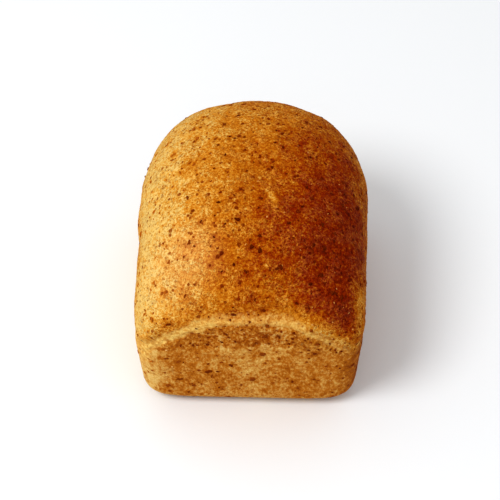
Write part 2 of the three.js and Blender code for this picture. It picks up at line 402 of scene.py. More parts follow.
class BigGrain(Enum):
    """Grains that are placed one by one.

    Each has its place across and down the photograph, read off it in pixels, and its length in mm.
    """

    MIDDLE_OF_DOME = (251, 247, 3.4)
    BESIDE_MIDDLE = (261, 251, 2.8)
    BEHIND_MIDDLE = (260, 235, 2.6)
    BACK_OF_SCRAPE = (238, 219, 3.0)
    LEFT_OF_SCRAPE = (200, 222, 2.2)
    BACK_LEFT = (192, 210, 2.8)
    LEFT_OF_DOME = (189, 242, 3.0)
    LEFT_OF_MIDDLE = (222, 253, 2.8)
    BEFORE_MIDDLE = (245, 271, 3.0)
    RIGHT_OF_MIDDLE = (281, 268, 3.0)
    RIGHT_OF_DOME = (325, 249, 3.4)
    FRONT_RIGHT = (321, 275, 2.6)
    LEFT_SHOULDER = (168, 263, 2.4)
    FRONT_LEFT = (185, 296, 3.2)
    OVER_SEAM = (234, 316, 3.0)
    OVER_LEFT_SEAM = (168, 325, 3.2)
    AT_SEAM = (268, 327, 2.6)
    UNDER_SEAM = (265, 337, 4.4)
    UNDER_RIGHT_OF_SEAM = (279, 338, 3.2)
    UNDER_LEFT_OF_SEAM = (208, 345, 2.6)
    RIGHT_OF_END = (314, 354, 2.8)
    HIGH_ON_END = (261, 354, 4.0)
    MIDDLE_OF_END = (231, 365, 2.8)
    LEFT_OF_END = (209, 371, 3.4)
    LOW_LEFT_OF_END = (180, 379, 4.4)
    LOW_CORNER_OF_END = (168, 385, 3.2)
    LOW_ON_END = (252, 379, 4.0)


@dataclass(frozen=True)
class Seam:
    """Where the torn band round the loaf runs, and where it is worn or wide, from the torn line up."""

    low: float = -0.6 * MM
    high: float = 5.6 * MM
    edge: float = 1.6 * MM
    wander: float = 2.0 * MM
    wander_wave: float = 6.0 * MM
    wander_above: float = 0.8
    fray_wave: float = 2.2 * MM

    drop: float = 3.6 * MM
    drop_across: Span = (10.0 * MM, 42.0 * MM)
    drop_along: Span = (30.0 * MM, 55.0 * MM)
    wider: float = 2.0 * MM
    wider_across: Span = (5.0 * MM, 25.0 * MM)
    wider_below: float = 0.6

    worn_middle: float = 0.55
    worn_middle_across: float = 2.0 * MM
    worn_middle_reach: float = 16.0 * MM
    worn_right: float = 0.25
    worn_right_across: Span = (14.0 * MM, 34.0 * MM)
    worn_end: float = 0.8
    worn_end_across: Span = (33.0 * MM, 43.0 * MM)
    worn_end_along: Span = (45.0 * MM, 58.0 * MM)
    corner: Span = (0.78, 0.92)
    worn_corner: float = 0.85
    pale_corner_height: float = 42.0 * MM
    pale_corner_reach: float = 11.0 * MM

    tin_line: float = 41.0 * MM
    tin_line_arch: float = 9.0 * MM
    tin_line_wander: float = 1.2
    tin_line_fray: float = 0.8
    off_tin: Span = (-2.5 * MM, 3.5 * MM)
    on_dome: Span = (3.0 * MM, 7.0 * MM)

    def zones(self, form: LoafForm, azimuth: np.ndarray, points: np.ndarray) -> Zones:
        """Sorts the crust into dome, torn band and tin-baked wall.

        Args:
            form: The loaf's form.
            azimuth: Direction of each point.
            points: The crust's points.

        Returns:
            The share of each zone at each point.
        """
        x, y, z = points.T
        shred = form.shred_height(azimuth)
        above = z - shred + self.drop * smooth(np.abs(x), *self.drop_across) * smooth(-y, *self.drop_along)
        wander = self.wander * noise_at(points, self.wander_wave, shift=3.0)
        fray = self.wander * noise_at(points, self.fray_wave, shift=8.0)
        end, side = form.end_and_side(azimuth)
        corner = smooth(np.minimum(end, side), *self.corner)

        wider = self.wider * smooth(-x, *self.wider_across)
        low = self.low - self.wider_below * wider + wander + fray
        high = self.high + wider + self.wander_above * wander - fray
        torn = smooth(above - low, 0.0, self.edge) * (1.0 - smooth(above - high, -2.0 * self.edge, 0.0))
        torn *= 1.0 - self.worn_middle * hump(x - self.worn_middle_across, self.worn_middle_reach)
        torn *= 1.0 - self.worn_right * smooth(x, *self.worn_right_across)
        torn *= 1.0 - self.worn_corner * corner * (x > 0.0)
        torn *= 1.0 - self.worn_end * smooth(x, *self.worn_end_across) * smooth(-y, *self.worn_end_along)
        pale_corner = corner * (x < 0.0) * hump(z - self.pale_corner_height, self.pale_corner_reach)
        torn = np.maximum(torn, pale_corner)

        arched = (shred - form.shred_at_corners) / (form.shred_at_ends - form.shred_at_corners)
        line = self.tin_line + self.tin_line_arch * np.clip(arched, 0.0, 1.0)
        line += self.tin_line_wander * wander + self.tin_line_fray * fray
        tinned = (1.0 - smooth(z - line, *self.off_tin)) * (1.0 - torn)
        return Zones(dome=smooth(above, *self.on_dome), torn=torn, tinned=tinned, above_shred=above)


@dataclass(frozen=True)
class Relief:
    """The fine relief of the crust: a wrinkled dome, a rough tear, and dents on the walls."""

    wrinkle_size: float = 3.2 * MM
    wrinkle_edge: float = 0.35
    wrinkle_height: float = 0.20 * MM
    wrinkle_bend: float = 0.6 * MM
    wrinkle_bend_wave: float = 2.5 * MM
    ripple_size: float = 7.0 * MM
    ripple_height: float = 0.08 * MM

    torn_size: float = 2.3 * MM
    torn_height: float = 0.42 * MM
    torn_finer: float = 0.5
    under_tear: float = 0.45
    dent_size: float = 5.5 * MM
    dent_height: float = 0.1 * MM

    grit_size: float = 1.8 * MM
    grit_height: float = 0.11 * MM
    grit_finer: float = 0.6
    grit_off_dome: float = 0.4

    groove_depth: float = 0.6 * MM
    groove_half_width: float = 1.1 * MM
    groove_line: float = -0.3 * MM
    groove_wander: float = 0.8 * MM
    groove_wander_wave: float = 5.0 * MM
    groove_evenness: float = 0.7
    groove_change: float = 0.5
    groove_change_wave: float = 9.0 * MM
    above_foot: float = 4.0 * MM

    def wrinkles(self, points: np.ndarray) -> np.ndarray:
        """Wrinkles and ripples of the dome.

        Args:
            points: The crust's points.

        Returns:
            How far each point would stand out if it were on the dome, in metres.
        """
        bend = self.wrinkle_bend * noise_at(points, self.wrinkle_bend_wave, shift=4.0)
        net = edge_net(points + bend[:, None], self.wrinkle_size, self.wrinkle_edge, shift=5.0)
        ripples = 1.0 - 2.0 * np.abs(noise_at(points, self.ripple_size, shift=12.0))
        return self.wrinkle_height * net + self.ripple_height * ripples

    def groove(self, points: np.ndarray, above_shred: np.ndarray) -> np.ndarray:
        """The groove along the torn line.

        Args:
            points: The crust's points.
            above_shred: How far each is above the torn line.

        Returns:
            Its depth at each point, in metres.
        """
        wander = self.groove_wander * noise_at(points, self.groove_wander_wave, shift=61.0)
        change = self.groove_change * noise_at(points, self.groove_change_wave, shift=62.0)
        shape = hump(above_shred - self.groove_line - wander, self.groove_half_width)
        return self.groove_depth * shape * (self.groove_evenness + change)

    def heights(self, points: np.ndarray, zones: Zones) -> np.ndarray:
        """Works out the fine relief.

        Args:
            points: The crust's points.
            zones: Where each of them lies.

        Returns:
            How far each point stands out along its direction, in metres.
        """
        rough = noise_at(points, self.torn_size, shift=21.0)
        rough += self.torn_finer * noise_at(points, self.torn_finer * self.torn_size, shift=22.0)
        grit = noise_at(points, self.grit_size, shift=51.0)
        grit += self.grit_finer * noise_at(points, self.grit_finer * self.grit_size, shift=52.0)
        under = (1.0 - zones.dome) * (1.0 - zones.tinned)
        total = zones.dome * self.wrinkles(points)
        total += self.torn_height * rough * np.maximum(zones.torn, self.under_tear * under)
        total += self.dent_height * noise_at(points, self.dent_size, shift=31.0) * zones.tinned
        total += self.grit_height * grit * blend(self.grit_off_dome, 1.0, zones.dome)
        total -= self.groove(points, zones.above_shred)
        return total * smooth(points[:, 2], 0.0, self.above_foot)


@dataclass(frozen=True)
class Browning:
    """How brown the crust was baked, from about 0 for pale to 1 for dark, and where that changes. Its
    darkening towards +X is partly real browning and partly painted shade, and its paler left walls, pale
    foot and pale sheen on the dome are painted light.
    """

    # Browner towards +X per metre: partly real browning, partly painted shade of the side turned from the
    # light.
    front: float = 0.53
    front_browning_and_shade_per_metre: float = 12.0
    back: float = 0.285
    back_browning_and_shade_per_metre: float = 5.0
    towards_back: Span = (-25.0 * MM, 50.0 * MM)
    flank: float = 0.5
    over_flank: Span = (42.0 * MM, 55.0 * MM)
    flank_wander: float = 4.0 * MM
    flank_wave: float = 15.0 * MM
    middle: float = 0.05
    middle_along: float = -12.0 * MM
    middle_reach: float = 16.0 * MM
    corner: float = 0.55
    corner_across: Span = (42.0 * MM, 50.0 * MM)
    corner_along: Span = (30.0 * MM, 52.0 * MM)
    darkest: float = 1.1

    # Near the band, also browner towards +X: partly real browning, partly painted shade.
    near_band: float = 0.40
    near_band_browning_and_shade_per_metre: float = 3.4
    off_band: Span = (6.0 * MM, 25.0 * MM)
    band_middle: float = 0.06
    band_middle_reach: float = 15.0 * MM
    edge: float = 0.36
    off_edge: Span = (4.0 * MM, 17.0 * MM)
    edge_across: Span = (5.0 * MM, 30.0 * MM)

    scrape_paleness: float = 0.6
    scrape_across: float = 9.0 * MM
    scrape_along: float = -16.0 * MM
    scrape_turn: float = 58.0
    scrape_half_length: float = 4.5 * MM
    scrape_half_width: float = 1.2 * MM

    # Painted sheen: a pale highlight painted on the dome's front left shoulder.
    sheen_spot_across: float = -31.0 * MM
    sheen_spot_along: float = -42.0 * MM
    sheen_spot_fade: Span = (4.0 * MM, 24.0 * MM)

    wall: float = 0.27
    wall_least: float = -0.15
    wall_wander: float = 5.0 * MM
    wall_wave: float = 8.0 * MM
    # Painted light: the walls are paler on the left, the side towards the light.
    painted_light_side: float = 0.40
    over_painted_light_side: Span = (30.0 * MM, 54.0 * MM)
    brown_side: float = 0.26
    over_brown_side: Span = (37.0 * MM, 52.0 * MM)
    tan_middle: float = 0.09
    tan_across: float = 8.0 * MM
    tan_reach: float = 14.0 * MM
    # Painted light: the foot is paler where the floor's bounce lights it.
    foot: float = 0.07
    off_lit_foot: Span = (4.0 * MM, 18.0 * MM)

    def dome(self, points: np.ndarray, above_shred: np.ndarray) -> np.ndarray:
        """How brown the dome is, darker towards +X: partly its own browning, partly painted shade of the
        side turned from the light.

        Args:
            points: The crust's points.
            above_shred: How far each is above the torn line.

        Returns:
            The browning at each point.
        """
        x, y, _ = points.T
        back = smooth(y, *self.towards_back)
        flank = x + self.flank_wander * noise_at(points, self.flank_wave, shift=81.0)
        per_metre = blend(self.front_browning_and_shade_per_metre, self.back_browning_and_shade_per_metre, back)
        # Darker towards +X: partly the crust's own browning, partly painted shade of the side turned from
        # the light.
        total = blend(self.front, self.back, back) + per_metre * x
        total -= self.flank * smooth(flank, *self.over_flank)
        total -= self.middle * hump(x, self.middle_reach) * hump(y - self.middle_along, self.middle_reach)
        total -= self.corner * smooth(x, *self.corner_across) * smooth(-y, *self.corner_along)
        total -= self.scrape_paleness * self.scrape(points)

        # Near the band it also darkens towards +X: partly real browning, partly painted shade.
        by_band = self.near_band + self.near_band_browning_and_shade_per_metre * x
        by_band += self.band_middle * hump(x, self.band_middle_reach)
        by_band -= self.edge * (1.0 - smooth(above_shred, *self.off_edge)) * smooth(x, *self.edge_across)
        near = 1.0 - smooth(above_shred, *self.off_band)
        return np.clip(blend(total, by_band, near), 0.0, self.darkest)

    def scrape(self, points: np.ndarray) -> np.ndarray:
        """Where a short pale scrape lies on the dome.

        Args:
            points: The crust's points.

        Returns:
            1 at its middle, falling to 0 round it.
        """
        x, y = points[:, 0] - self.scrape_across, points[:, 1] - self.scrape_along
        turn = math.radians(-self.scrape_turn)
        length = x * math.cos(turn) + y * math.sin(turn)
        width = y * math.cos(turn) - x * math.sin(turn)
        return hump(length, self.scrape_half_length) * hump(width, self.scrape_half_width)

    def painted_sheen_spot(self, points: np.ndarray) -> np.ndarray:
        """Where a pale sheen is painted on the dome as a highlight, most on its front left shoulder."""
        away = np.hypot(points[:, 0] - self.sheen_spot_across, points[:, 1] - self.sheen_spot_along)
        return 1.0 - smooth(away, *self.sheen_spot_fade)

    def walls(self, points: np.ndarray) -> np.ndarray:
        """How brown the tin-baked walls are: pale on the left side as painted light, brown on the right,
        and paler at the foot as painted light from the floor's bounce.

        Args:
            points: The crust's points.

        Returns:
            The browning at each point.
        """
        x, _, z = points.T
        wandering = x + self.wall_wander * noise_at(points, self.wall_wave, shift=71.0)
        # Painted light on the left side.
        total = self.wall - self.painted_light_side * smooth(-wandering, *self.over_painted_light_side)
        total += self.brown_side * smooth(wandering, *self.over_brown_side)
        total -= self.tan_middle * hump(x - self.tan_across, self.tan_reach)
        # Painted light from the floor's bounce at the foot.
        total -= self.foot * (1.0 - smooth(z, *self.off_lit_foot))
        return np.clip(total, self.wall_least, 1.0)


@dataclass
class Crust:
    """The whole crust of the loaf, from its wrinkled dome to its flat base."""

    form: LoafForm = field(default_factory=LoafForm)
    grid: CrustGrid = field(default_factory=CrustGrid)
    seam: Seam = field(default_factory=Seam)
    texture: Relief = field(default_factory=Relief)
    baking: Browning = field(default_factory=Browning)

    pit_reach: float = 1.5
    pit_spread: float = 0.55
    halo_spread: float = 0.75
    least_facing: float = 0.15

    points: np.ndarray = field(init=False)
    faces: list[list[int]] = field(init=False)
    normals: np.ndarray = field(init=False)
    areas: np.ndarray = field(init=False)
    zones: Zones = field(init=False)
    halo: np.ndarray = field(init=False)
    relief: np.ndarray = field(init=False)
    dome_browning_and_shade: np.ndarray = field(init=False)
    wall_browning: np.ndarray = field(init=False)

    def build(self) -> None:
        """Works out the crust's points, their directions, zones and browning, before any pits."""
        azimuth, rise, self.faces = self.grid.layout(self.form)
        height = self.form.height_along(np.maximum(rise, 0.0))
        even = self.form.crust(azimuth, height)
        even[rise == self.grid.base_ring, :2] *= self.grid.base_spread
        even[rise == self.grid.base_middle, :2] = 0.0
        self.points = self.form.uneven(even)
        self.normals, self.areas = self.directions(self.points)
        self.zones = self.seam.zones(self.form, azimuth, self.points)
        self.halo = np.zeros(len(self.points))
        self.relief = self.texture.heights(self.points, self.zones)
        self.dome_browning_and_shade = self.baking.dome(self.points, self.zones.above_shred)
        self.wall_browning = self.baking.walls(self.points)

    def directions(self, points: np.ndarray) -> tuple[np.ndarray, np.ndarray]:
        """Works out which way each point faces.

        Args:
            points: The crust's points.

        Returns:
            Unit directions out of the crust, and the area that each point stands for.
        """
        normals = np.zeros_like(points)
        for corners in (4, 3):
            faces = np.array([face for face in self.faces if len(face) == corners])
            at = points[faces]
            if corners == 4:
                cross = np.cross(at[:, 2] - at[:, 0], at[:, 3] - at[:, 1])
            else:
                cross = np.cross(at[:, 1] - at[:, 0], at[:, 2] - at[:, 0])
            for corner in range(corners):
                np.add.at(normals, faces[:, corner], cross / (2.0 * corners))
        areas = np.linalg.norm(normals, axis=1)
        return normals / np.maximum(areas, 1e-15)[:, None], areas

    def press(self, place: np.ndarray, size: float, depth: float, darkness: float) -> None:
        """Presses a pit into the crust, and browns the crust round it.

        Args:
            place: Where the pit is.
            size: Its length across.
            depth: How deep it is.
            darkness: How much browner its surroundings are, from 0 to 1.
        """
        away = np.linalg.norm(self.points - place, axis=1) / size
        near = away < self.pit_reach
        self.relief[near] -= depth * hump(away[near], self.pit_spread)
        self.halo[near] = np.maximum(self.halo[near], darkness * hump(away[near], self.halo_spread))

    def surface_at(self, number: int) -> np.ndarray:
        """Place of a numbered point on the crust with all its relief."""
        return self.points[number] + self.normals[number] * self.relief[number]

    def big_grains(self, studio: "Studio") -> tuple[tuple[int, float], ...]:
        """Finds the crust's points under the grains that are placed one by one.

        Args:
            studio: The studio, whose camera stands where the photograph's did.

        Returns:
            For each grain, the number of the point under it and its length.
        """
        across, down, facing = studio.seen_at(self.points, self.normals)
        marks = []
        for grain in BigGrain:
            grain_across, grain_down, length = grain.value
            away = np.hypot(across - grain_across, down - grain_down)
            nearest = np.argmin(np.where(facing > self.least_facing, away, np.inf))
            marks.append((int(nearest), length * MM))
        return tuple(marks)

    def dress(self, finish: "CrustFinish") -> bpy.types.Object:
        """Makes the crust's mesh, with its zones for the finish.

        Args:
            finish: The finish that it wears.

        Returns:
            The finished piece.
        """
        placed = self.points + self.normals * self.relief[:, None]
        placed[:, 2] = np.maximum(placed[:, 2], 0.0)
        piece = mesh_piece("crust", placed, self.faces)
        zones = {
            # Dome browning, darker towards +X partly as painted shade.
            "browning": self.dome_browning_and_shade,
            # Wall browning, with painted light on the left side and at the foot.
            "wall_browning": self.wall_browning,
            "torn": self.zones.torn,
            "tinned": self.zones.tinned,
            "dome": self.zones.dome,
            "halo": self.halo,
            # Painted sheen: where a pale highlight is painted on the dome.
            "painted_sheen_spot": self.baking.painted_sheen_spot(self.points),
        }
        for name, values in zones.items():
            paint(piece, name, values)
        piece.data.materials.append(finish.material())
        return piece


def mesh_piece(name: str, points: np.ndarray, faces: list[list[int]]) -> bpy.types.Object:
    """Makes a smooth-shaded mesh object.

    Args:
        name: The piece's name.
        points: Its points, one row each.
        faces: The numbers of each face's points.

    Returns:
        The object, in the scene.
    """
    mesh = bpy.data.meshes.new(name)
    mesh.from_pydata(points.tolist(), [], faces)
    mesh.polygons.foreach_set("use_smooth", [True] * len(mesh.polygons))
    mesh.update()
    piece = bpy.data.objects.new(name, mesh)
    bpy.context.scene.collection.objects.link(piece)
    return piece


def paint(piece: bpy.types.Object, name: str, values: np.ndarray) -> None:
    """Stores a number for each point of a piece, for its finish to read."""
    layer = piece.data.attributes.new(name, "FLOAT", "POINT")
    layer.data.foreach_set("value", np.asarray(values, dtype=np.float32))


class GrainKind(Enum):
    """The kinds of grain that show in the crust."""

    BRAN = "bran_flakes"
    CRACKED = "cracked_grains"
    # Pale flakes: partly real pale bran, partly painted glints.
    PALE = "pale_flakes_and_glints"


@dataclass(frozen=True)
class Scatter:
    """How grains spread over the crust and vary, the same for every kind."""

    under_tear: float = 3.0
    on_wall: float = 0.75
    on_tear: float = 0.25
    patchiness: float = 0.7
    patch_wave: float = 18.0 * MM
    off_base: Span = (1.5 * MM, 4.0 * MM)
    by_big_grain: float = 0.72
    off_big_grain: Span = (4.0 * MM, 16.0 * MM)
    tries: int = 6

    halo: Span = (0.4, 1.0)
    outline: Span = (0.5, 1.2)
    unevenness: Span = (0.88, 1.08)
    breadth: Span = (0.6, 1.3)
    wall_spin: float = 0.9
    wall_breadth: float = 1.35
    wall_thickness: float = 0.4
    wall_proud: float = 0.3
    wall_tone: float = 0.12
    wall_browning: float = 0.9
    big_grain_tone: float = 0.4
    sunk: float = 0.3
    steepest: float = 0.05


@dataclass
class Grains:
    """One kind of grain, scattered over the crust and pressed into it."""

    kind: GrainKind
    count: int
    longest: float
    shortest: float
    breadth: float
    thickness: float
    proud: float
    gap: float
    seed: int
    pit_share: float = 0.0
    pit_depth: float = 0.0
    halo: float = 0.0
    sides: int = 9
    rings: tuple[Span, ...] = ((0.6, 0.46), (0.92, 0.30), (1.0, -0.15), (0.7, -0.5))
    top: float = 0.5
    bottom: float = -0.6
    marks: tuple[tuple[int, float], ...] = ()
    scatter: Scatter = field(default_factory=Scatter)

    draw: np.random.Generator = field(init=False)
    numbers: list[int] = field(init=False)
    sizes: np.ndarray = field(init=False)

    def density(self, crust: Crust) -> np.ndarray:
        """How likely a grain of this kind is at each point of the crust.

        Args:
            crust: The crust.

        Returns:
            A weight for each point.
        """
        zones, scatter = crust.zones, self.scatter
        under = (1.0 - zones.dome) * (1.0 - zones.tinned) * (1.0 - zones.torn)
        weight = zones.dome + scatter.under_tear * under
        weight += scatter.on_wall * zones.tinned + scatter.on_tear * zones.torn
        patches = noise_at(crust.points, scatter.patch_wave, shift=40.0 + self.seed)
        clear = smooth(crust.points[:, 2], *scatter.off_base)
        for number, _ in self.marks:
            away = np.linalg.norm(crust.points - crust.points[number], axis=1)
            clear *= blend(scatter.by_big_grain, 1.0, smooth(away, *scatter.off_big_grain))
        return crust.areas * weight * (1.0 + scatter.patchiness * patches) * clear

    def settle(self, crust: Crust) -> None:
        """Chooses the grains' places and sizes, largest first, and presses their pits.

        Args:
            crust: The crust that they lie on.
        """
        self.draw = np.random.default_rng(self.seed)
        weight = self.density(crust)
        tries = self.draw.choice(len(weight), size=self.scatter.tries * self.count, p=weight / weight.sum())
        numbers = [number for number, _ in self.marks]
        sizes = [length for _, length in self.marks]
        taken = np.array([crust.points[i] for i in numbers]).reshape(-1, 3)
        for i in tries:
            if len(numbers) >= self.count:
                break
            place = crust.points[i]
            if len(taken) and np.min(np.linalg.norm(taken - place, axis=1)) < self.gap:
                continue
            share = len(numbers) / self.count
            numbers.append(int(i))
            sizes.append(self.longest * (self.shortest / self.longest) ** share)
            taken = np.vstack([taken, place])
        self.numbers, self.sizes = numbers, np.array(sizes)
        for order, (number, size) in enumerate(zip(numbers, sizes)):
            deep = self.draw.random() < self.pit_share or order < len(self.marks)
            depth = self.pit_depth if deep and crust.zones.tinned[number] < 0.5 else 0.0
            darkness = self.halo * self.draw.uniform(*self.scatter.halo)
            crust.press(crust.points[number], size, depth, darkness)

    def one(self) -> tuple[np.ndarray, np.ndarray]:
        """A single grain one unit long and flat on z = 0, before it is scaled.

        Returns:
            Its points, and its triangles.
        """
        turns = np.arange(self.sides) * math.tau / self.sides
        points = [np.array([[0.0, 0.0, self.top]])]
        for spread, lift in self.rings:
            level = np.full(self.sides, lift)
            ring = np.stack([np.cos(turns) * spread, np.sin(turns) * spread, level], axis=1)
            points.append(ring * np.array([0.5, 0.5, 1.0]))
        points.append(np.array([[0.0, 0.0, self.bottom]]))
        around = np.arange(self.sides)
        onward = (around + 1) % self.sides
        last = len(self.rings) * self.sides + 1
        faces = [np.stack([np.zeros(self.sides, int), 1 + around, 1 + onward], axis=1)]
        for ring in range(len(self.rings) - 1):
            upper, lower = 1 + ring * self.sides, 1 + (ring + 1) * self.sides
            faces.append(np.stack([upper + around, lower + around, lower + onward], axis=1))
            faces.append(np.stack([upper + around, lower + onward, upper + onward], axis=1))
        bottom = last - self.sides
        faces.append(np.stack([np.full(self.sides, last), bottom + onward, bottom + around], axis=1))
        return np.concatenate(points), np.concatenate(faces)

    def dress(self, crust: Crust, finish: "GrainFinish") -> bpy.types.Object:
        """Makes all the grains of this kind as one piece.

        Args:
            crust: The crust that they lie on.
            finish: The finish that they wear.

        Returns:
            The finished piece.
        """
        shape, triangles = self.one()
        scatter = self.scatter
        points, faces, tones, browns = [], [], [], []
        browning = blend(crust.wall_browning, crust.dome_browning_and_shade, crust.zones.dome)
        for order, (number, size) in enumerate(zip(self.numbers, self.sizes)):
            up = crust.normals[number]
            level = np.cross(up, [0.0, 0.0, 1.0])
            if np.linalg.norm(level) < scatter.steepest:
                level = np.array([1.0, 0.0, 0.0])
            level /= np.linalg.norm(level)
            on_wall = crust.zones.tinned[number]
            if on_wall > 0.5:
                spin = self.draw.normal(0.0, scatter.wall_spin)
            else:
                spin = self.draw.uniform(0.0, math.pi)
            long = level * math.cos(spin) + np.cross(up, level) * math.sin(spin)
            wide = np.cross(up, long)
            outline = np.tile(self.draw.uniform(*scatter.outline, self.sides), len(self.rings))
            outline = np.concatenate([[1.0], outline, [1.0]])
            uneven = outline[:, None] * self.draw.uniform(*scatter.unevenness, (len(shape), 1))
            breadth = self.breadth * self.draw.uniform(*scatter.breadth)
            breadth *= blend(1.0, scatter.wall_breadth, on_wall)
            thickness = size * self.thickness * blend(1.0, scatter.wall_thickness, on_wall)
            grain = shape * uneven * np.array([size, size * breadth, thickness])
            lift = self.proud * blend(1.0, scatter.wall_proud, on_wall) - scatter.sunk * thickness
            turned = grain[:, :1] * long + grain[:, 1:2] * wide + (grain[:, 2:] + lift) * up
            faces.append(triangles + len(shape) * len(points))
            points.append(turned + crust.surface_at(number))
            tone = self.draw.random() * (scatter.big_grain_tone if order < len(self.marks) else 1.0)
            tones.append(np.full(len(shape), blend(tone, 1.0, scatter.wall_tone * on_wall)))
            brown = browning[number] * blend(1.0, scatter.wall_browning, on_wall)
            browns.append(np.full(len(shape), brown))
        piece = mesh_piece(self.kind.value, np.concatenate(points), np.concatenate(faces).tolist())
        paint(piece, "tone", np.concatenate(tones))
        paint(piece, "browning", np.concatenate(browns))
        piece.data.materials.append(finish.material())
        return piece


@dataclass(frozen=True)
class Cloud:
    """A layer of cloudy noise: the size of its largest waves, its finer layers, and how strong both are."""

    size: float
    detail: float
    rough: float = 0.5
    strength: float = 1.0


@dataclass(frozen=True)
class Specks:
    """Specks of many sizes: cells that may hold one each, the share that does, and the largest's radius."""

    cell: float
    share: float
    largest: float
    edge: float = 0.1
    strength: float = 1.0


@dataclass(frozen=True)
class Places:
    """Places for a pattern: how many times longer it is along X, Y and Z, and how it is bent."""

    stretch: tuple[float, float, float]
    bend: float = 0.0
    bend_size: float = 2.0 * MM


class Bench:
    """A material's nodes, with short calls that add and join them."""

    def __init__(self, name: str) -> None:
        """Starts a material of this name with an empty principled surface."""
        self.made = bpy.data.materials.new(name)
        self.made.use_nodes = True
        self.tree = self.made.node_tree
        self.surface = self.tree.nodes["Principled BSDF"]
        self.place = self.tree.nodes.new("ShaderNodeTexCoord").outputs["Object"]

    def feed(self, target: bpy.types.NodeSocket, source: object) -> None:
        """Joins a socket to another, or sets it to a plain value."""
        if isinstance(source, bpy.types.NodeSocket):
            self.tree.links.new(source, target)
        else:
            target.default_value = source

    def zone(self, name: str) -> bpy.types.NodeSocket:
        """A number that the piece's points carry."""
        node = self.tree.nodes.new("ShaderNodeAttribute")
        node.attribute_name = name
        return node.outputs["Fac"]

    def sum(
        self, kind: str, first: object, second: object = 0.0, third: object = 0.0
    ) -> bpy.types.NodeSocket:
        """Does one sum.

        Args:
            kind: The kind of sum, such as MULTIPLY.
            first: Its first number or socket.
            second: Its second.
            third: Its third, where the kind has one.

        Returns:
            The result.
        """
        node = self.tree.nodes.new("ShaderNodeMath")
        node.operation = kind
        for target, source in zip(node.inputs, (first, second, third)):
            self.feed(target, source)
        return node.outputs[0]

    def stretched(self, places: Places) -> bpy.types.NodeSocket:
        """Makes places for a pattern.

        Args:
            places: How they are stretched and bent.

        Returns:
            A socket with the places.
        """
        place = self.place
        if places.bend:
            cloud = self.tree.nodes.new("ShaderNodeTexNoise")
            cloud.inputs["Scale"].default_value = 1.0 / places.bend_size
            cloud.inputs["Detail"].default_value = 1.0
            self.feed(cloud.inputs["Vector"], place)
            offset = self.vector("SUBTRACT", cloud.outputs["Color"], (0.5, 0.5, 0.5))
            bend = self.vector("MULTIPLY", offset, (places.bend, places.bend, places.bend))
            place = self.vector("ADD", place, bend)
        return self.vector("MULTIPLY", place, tuple(1.0 / times for times in places.stretch))

    def vector(self, kind: str, first: object, second: object) -> bpy.types.NodeSocket:
        """Does one sum on vectors."""
        node = self.tree.nodes.new("ShaderNodeVectorMath")
        node.operation = kind
        self.feed(node.inputs[0], first)
        self.feed(node.inputs[1], second)
        return node.outputs[0]

    def cloud(self, layer: Cloud, place: object = None) -> bpy.types.NodeSocket:
        """Cloudy noise.

        Args:
            layer: The kind of cloud.
            place: Places to take it at; the piece's own if left out.

        Returns:
            A socket with the noise, from 0 to 1.
        """
        node = self.tree.nodes.new("ShaderNodeTexNoise")
        node.inputs["Scale"].default_value = 1.0 / layer.size
        node.inputs["Detail"].default_value = layer.detail
        node.inputs["Roughness"].default_value = layer.rough
        self.feed(node.inputs["Vector"], place or self.place)
        return node.outputs["Fac"]

    def swing(self, layers: tuple[Cloud, ...], place: object = None) -> bpy.types.NodeSocket:
        """Adds up clouds that each swing about 0.

        Args:
            layers: The clouds, each of which spans its strength.
            place: Places to take them at; the piece's own if left out.

        Returns:
            A socket with the sum.
        """
        total = 0.0
        for layer in layers:
            cloud = self.cloud(layer, place)
            swung = self.sum("MULTIPLY_ADD", cloud, layer.strength, -layer.strength / 2.0)
            total = self.sum("ADD", total, swung)
        return total

    def specks(self, kind: Specks, place: object) -> bpy.types.NodeSocket:
        """Scattered specks.

        Args:
            kind: The kind of speck.
            place: Places to take them at.

        Returns:
            How far inside a speck each place is, in cells, and less than 0 outside.
        """
        node = self.tree.nodes.new("ShaderNodeTexVoronoi")
        node.feature = "F1"
        node.inputs["Scale"].default_value = 1.0 / kind.cell
        self.feed(node.inputs["Vector"], place)
        radius = self.between(node.outputs["Color"], (1.0 - kind.share, 0.95), (0.0, kind.largest))
        return self.sum("SUBTRACT", radius, node.outputs["Distance"])

    def speckled(self, kind: Specks, place: object) -> bpy.types.NodeSocket:
        """Soft-edged specks, from 0 outside them to their strength inside."""
        return self.between(self.specks(kind, place), (0.0, kind.edge), (0.0, kind.strength))

    def between(self, value: object, over: Span, out: Span = (0.0, 1.0)) -> bpy.types.NodeSocket:
        """Turns a range of numbers smoothly into another.

        Args:
            value: The number to turn.
            over: Where its range starts and ends.
            out: What the start and the end become.

        Returns:
            A socket with the result.
        """
        node = self.tree.nodes.new("ShaderNodeMapRange")
        node.interpolation_type = "SMOOTHSTEP"
        names = ("Value", "From Min", "From Max", "To Min", "To Max")
        for name, source in zip(names, (value, *over, *out)):
            self.feed(node.inputs[name], source)
        return node.outputs["Result"]

    def ramp(self, value: object, stops: tuple[tuple[float, Colour], ...]) -> bpy.types.NodeSocket:
        """Colours along a scale.

        Args:
            value: Where on the scale.
            stops: Places on the scale, in order, and their colours.

        Returns:
            A socket with the colour.
        """
        node = self.tree.nodes.new("ShaderNodeValToRGB")
        marks = node.color_ramp.elements
        first, span = stops[0][0], stops[-1][0] - stops[0][0]
        while len(marks) < len(stops):
            marks.new(1.0)
        for mark, (place, colour) in zip(marks, stops):
            mark.position = (place - first) / span
            mark.color = colour
        self.feed(node.inputs["Fac"], self.sum("MULTIPLY_ADD", value, 1.0 / span, -first / span))
        return node.outputs["Color"]

